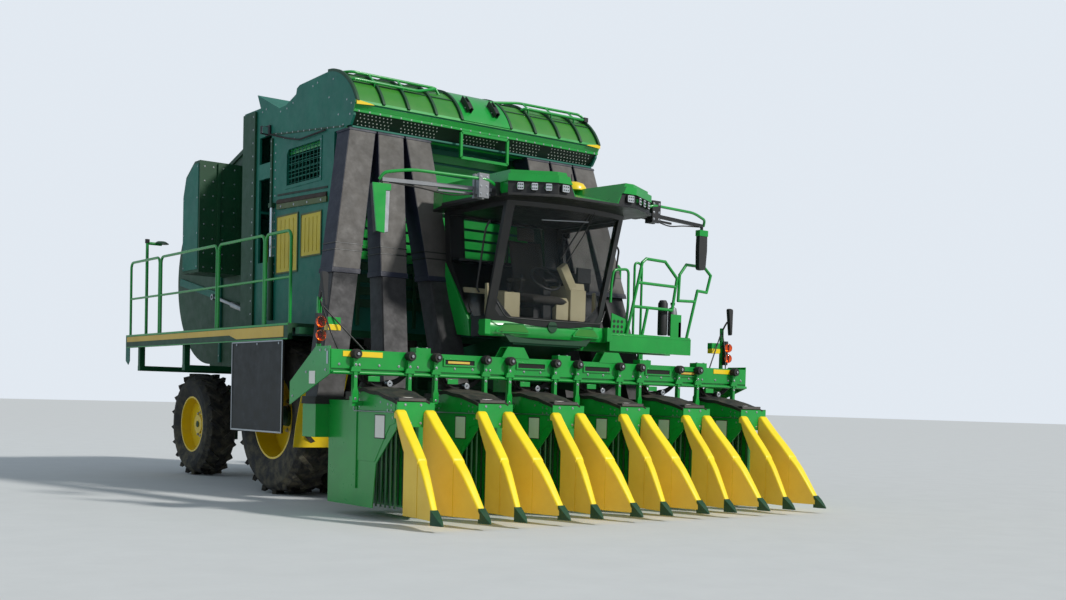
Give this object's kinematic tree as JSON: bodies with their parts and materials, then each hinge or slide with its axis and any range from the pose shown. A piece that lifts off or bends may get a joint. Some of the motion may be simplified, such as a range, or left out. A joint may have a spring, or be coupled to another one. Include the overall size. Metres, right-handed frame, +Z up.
{
  "type": "cotton picker",
  "caption": "Self-propelled six-row cotton picker with a raised cab, air ducts to a cotton box, and a rear chamber that builds round modules.",
  "frame": {"origin": "on the ground under the middle of the whole machine, parked with its header lowered", "axes": "+X towards the machine's left, +Y towards its rear (it drives towards -Y), +Z up"},
  "size_m": [6.04, 10.03, 5.18],
  "materials": {
    "green_paint": "glossy sprayed enamel",
    "dark_green_paint": "semi-gloss sprayed enamel",
    "yellow_paint": "glossy sprayed enamel",
    "yellow_plastic": "moulded, lightly worn",
    "black_paint": "satin",
    "black_plastic": "moulded, fine grain",
    "black_rubber": "matt, dusty",
    "tyre_rubber": "matt, dusty between the lugs",
    "duct_grey": "moulded, dusty",
    "tinted_glass": "lightly tinted",
    "rod_steel": "hard chromed rods",
    "engine_grey": "cast, painted",
    "cab_trim": "woven seat cloth and moulded trim"
  },
  "bodies": {
    "chassis": {"chassis_frame": "dark_green_paint", "body_supports": "dark_green_paint", "axles": "dark_green_paint", "engine_block": "engine_grey", "lower_body": "dark_green_paint", "side_grilles": "yellow_paint", "cotton_box": "dark_green_paint", "hood": "green_paint", "upper_ducts": "duct_grey", "lower_ducts": "black_rubber", "module_chamber": "dark_green_paint", "chamber_belts": "black_rubber", "platform_right": "dark_green_paint", "platform_left": "green_paint", "handrails": "green_paint", "wheel_shields": "black_plastic", "cab_frame": "black_paint", "cab_roof": "green_paint", "cab_glass": "tinted_glass", "cab_interior": "cab_trim", "mirrors": "black_plastic", "lift_cylinders": "rod_steel", "gate_cylinders": "rod_steel"},
    "lift": {"lift_arms": "dark_green_paint"},
    "header": {"toolbar": "green_paint", "hangers": "green_paint", "row_cabinets": "green_paint", "row_covers": "black_rubber", "stalk_guides": "yellow_plastic", "guide_shoes": "dark_green_paint", "light_posts": "black_paint"},
    "front_wheels_left": {"front_tyres_left": "tyre_rubber", "front_rims_left": "yellow_paint"},
    "front_wheels_right": {"front_tyres_right": "tyre_rubber", "front_rims_right": "yellow_paint"},
    "steering_left": {"knuckle_left": "dark_green_paint"},
    "steering_right": {"knuckle_right": "dark_green_paint"},
    "rear_wheel_left": {"rear_tyre_left": "tyre_rubber", "rear_rim_left": "yellow_paint"},
    "rear_wheel_right": {"rear_tyre_right": "tyre_rubber", "rear_rim_right": "yellow_paint"},
    "door": {"cab_door": "black_paint", "cab_door_glass": "tinted_glass"},
    "gate": {"rear_gate": "green_paint"},
    "handler": {"module_handler": "dark_green_paint"}
  },
  "joints": [
    {"name": "header_lift", "type": "hinge", "parent": "chassis", "child": "lift", "pos_m": [0, -1.445, 1.61], "axis": [-1, 0, 0], "range_deg": [-1, 15], "deforming": ["lower_ducts"]},
    {"name": "header_level", "type": "hinge", "parent": "lift", "child": "header", "pos_m": [0, -3.03, 1.4], "axis": [-1, 0, 0], "range_deg": [-15, 1]},
    {"name": "front_wheels_left_spin", "type": "hinge", "parent": "chassis", "child": "front_wheels_left", "pos_m": [1.88, -0.215, 0.975], "axis": [1, 0, 0], "continuous": true},
    {"name": "front_wheels_right_spin", "type": "hinge", "parent": "chassis", "child": "front_wheels_right", "pos_m": [-1.88, -0.215, 0.975], "axis": [1, 0, 0], "continuous": true},
    {"name": "steer_left", "type": "hinge", "parent": "chassis", "child": "steering_left", "pos_m": [1.02, 3.635, 0.765], "axis": [0, 0, 1], "range_deg": [-25, 25]},
    {"name": "steer_right", "type": "hinge", "parent": "chassis", "child": "steering_right", "pos_m": [-1.02, 3.635, 0.765], "axis": [0, 0, 1], "range_deg": [-25, 25]},
    {"name": "rear_wheel_left_spin", "type": "hinge", "parent": "steering_left", "child": "rear_wheel_left", "pos_m": [1.38, 3.635, 0.765], "axis": [1, 0, 0], "continuous": true},
    {"name": "rear_wheel_right_spin", "type": "hinge", "parent": "steering_right", "child": "rear_wheel_right", "pos_m": [-1.38, 3.635, 0.765], "axis": [1, 0, 0], "continuous": true},
    {"name": "cab_door_hinge", "type": "hinge", "parent": "chassis", "child": "door", "pos_m": [0.876, -2.193, 3.1], "axis": [0, 0, 1], "range_deg": [0, 75]},
    {"name": "gate_hinge", "type": "hinge", "parent": "chassis", "child": "gate", "pos_m": [0, 2.895, 4.36], "axis": [1, 0, 0], "range_deg": [0, 65]},
    {"name": "handler_hinge", "type": "hinge", "parent": "chassis", "child": "handler", "pos_m": [0, 4.455, 1.3], "axis": [1, 0, 0], "range_deg": [-20, 40]}
  ],
  "couplings": [
    {"joint": "header_level", "follows": "header_lift", "ratio": -1},
    {"joint": "steer_right", "follows": "steer_left", "ratio": 1}
  ]
}
